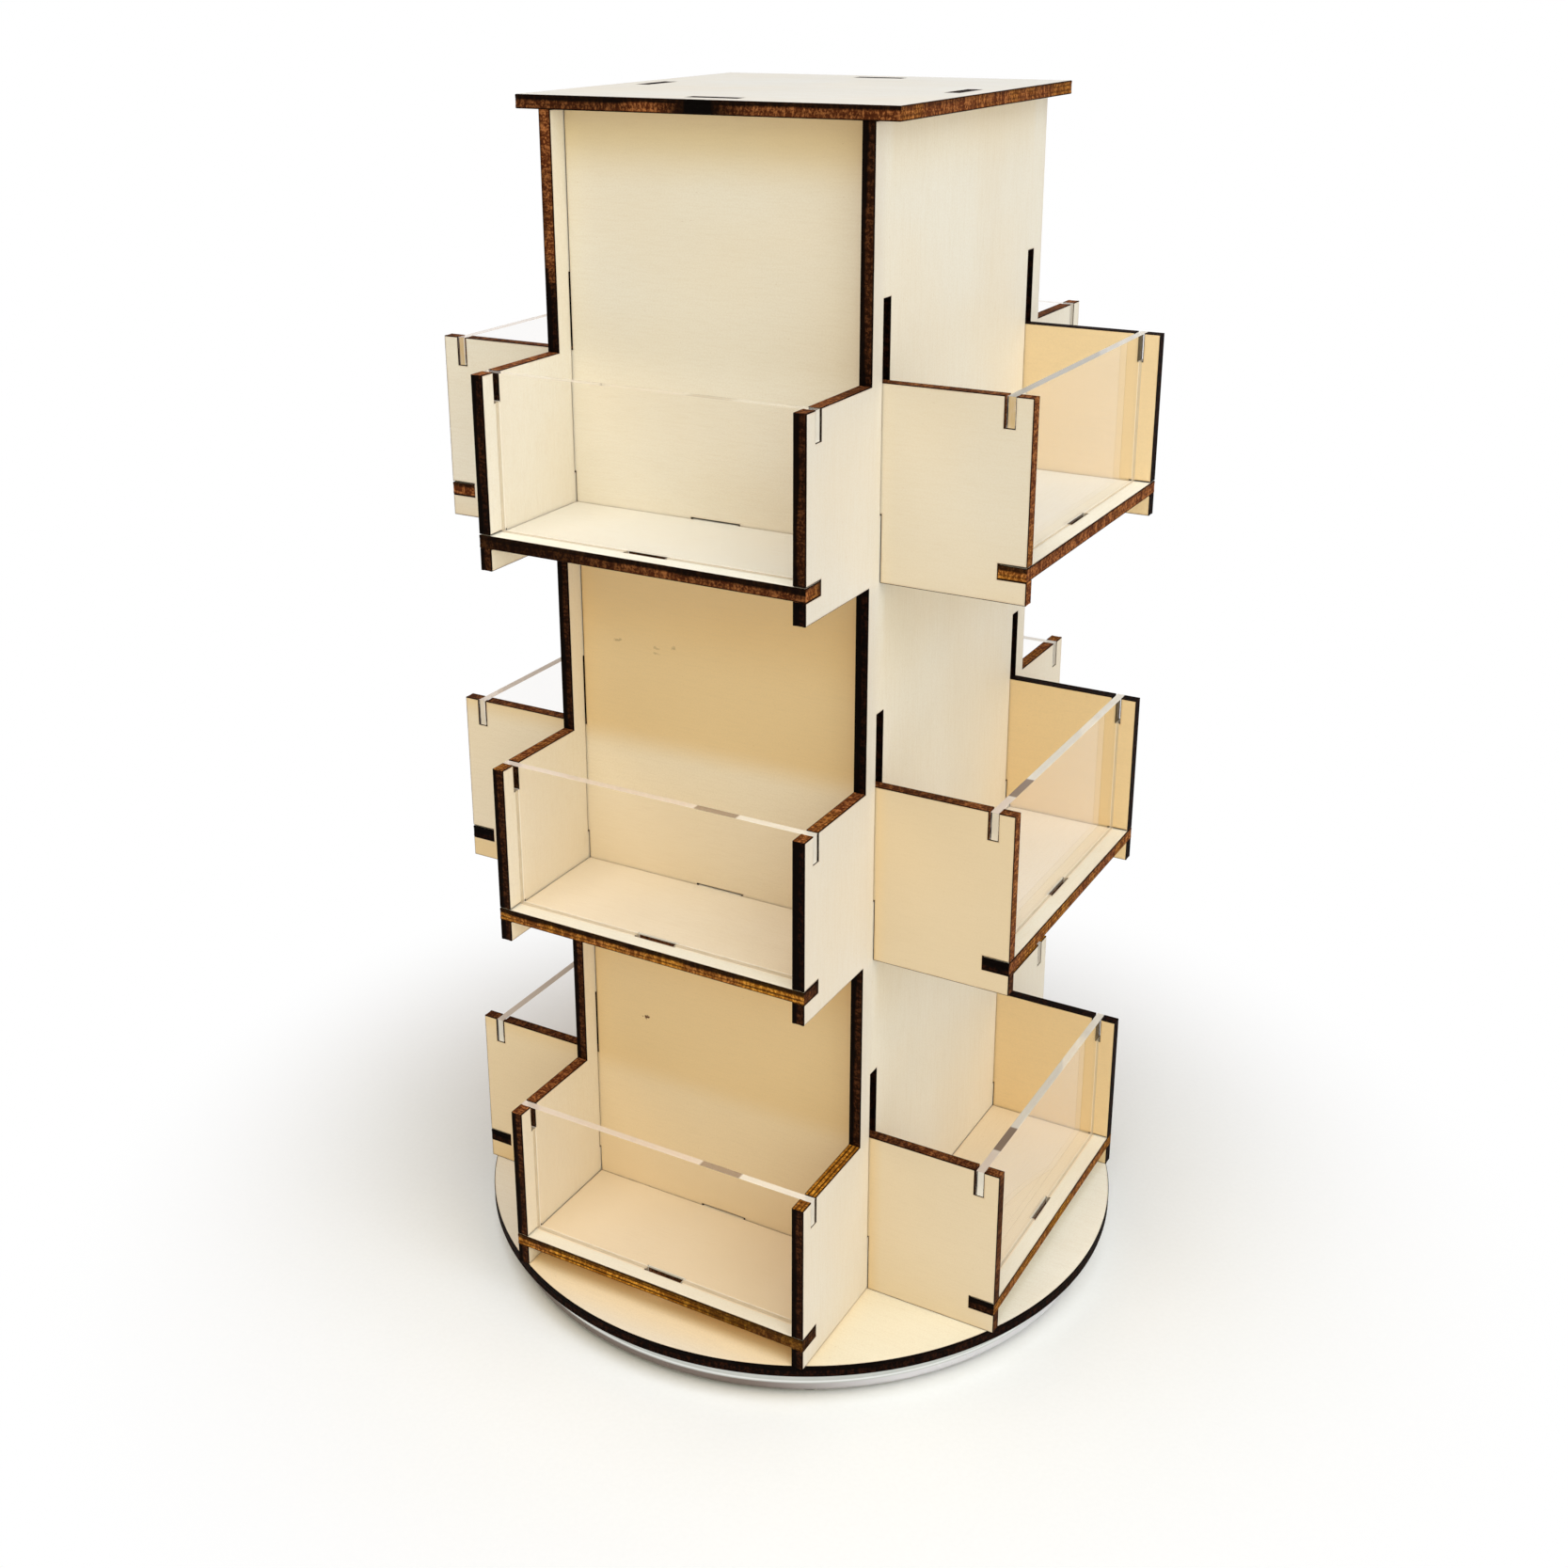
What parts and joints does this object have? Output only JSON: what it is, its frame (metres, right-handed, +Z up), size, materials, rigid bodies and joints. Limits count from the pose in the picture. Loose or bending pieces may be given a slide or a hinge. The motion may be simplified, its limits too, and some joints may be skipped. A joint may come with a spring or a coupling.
{
  "type": "rotating display rack",
  "caption": "Countertop display rack: a square plywood column with open pockets and clear fronts on every side, standing on a round board over a flat ball-bearing turntable.",
  "frame": {"origin": "middle of the footprint, on the surface that the feet stand on", "axes": "+Z up along the column and the turntable's axis, -Y out of the front pockets, +X out of the right pockets"},
  "size_m": [0.164, 0.164, 0.289],
  "materials": {
    "plywood": "raw pale plywood, laser-cut, with charred brown edges",
    "clear_acrylic": "clear cast acrylic with bright cut edges",
    "ring_aluminium": "satin, turned",
    "ball_steel": "polished",
    "cage_nylon": "natural white nylon",
    "foot_rubber": "matt black",
    "screw_steel": "zinc-plated"
  },
  "bodies": {
    "base": {"bearing_outer_ring": "ring_aluminium", "rubber_feet": "foot_rubber"},
    "ball_set": {"bearing_balls": "ball_steel", "ball_cage": "cage_nylon"},
    "rack": {"front_wall": "plywood", "back_wall": "plywood", "left_wall": "plywood", "right_wall": "plywood", "top_plate": "plywood", "turntable_disc": "plywood", "low_front_shelf": "plywood", "low_right_shelf": "plywood", "low_back_shelf": "plywood", "low_left_shelf": "plywood", "mid_front_shelf": "plywood", "mid_right_shelf": "plywood", "mid_back_shelf": "plywood", "mid_left_shelf": "plywood", "top_front_shelf": "plywood", "top_right_shelf": "plywood", "top_back_shelf": "plywood", "top_left_shelf": "plywood", "low_front_pane": "clear_acrylic", "low_right_pane": "clear_acrylic", "low_back_pane": "clear_acrylic", "low_left_pane": "clear_acrylic", "mid_front_pane": "clear_acrylic", "mid_right_pane": "clear_acrylic", "mid_back_pane": "clear_acrylic", "mid_left_pane": "clear_acrylic", "top_front_pane": "clear_acrylic", "top_right_pane": "clear_acrylic", "top_back_pane": "clear_acrylic", "top_left_pane": "clear_acrylic", "bearing_inner_ring": "ring_aluminium", "ring_screws": "screw_steel", "screw_nuts": "screw_steel"}
  },
  "joints": [
    {"name": "turntable_spin", "type": "hinge", "parent": "base", "child": "rack", "pos_m": [0, 0, 0.0047], "axis": [0, 0, 1], "continuous": true},
    {"name": "ball_set_orbit", "type": "hinge", "parent": "base", "child": "ball_set", "pos_m": [0, 0, 0.0047], "axis": [0, 0, 1], "continuous": true}
  ],
  "couplings": [
    {"joint": "ball_set_orbit", "follows": "turntable_spin", "ratio": 0.4856}
  ]
}
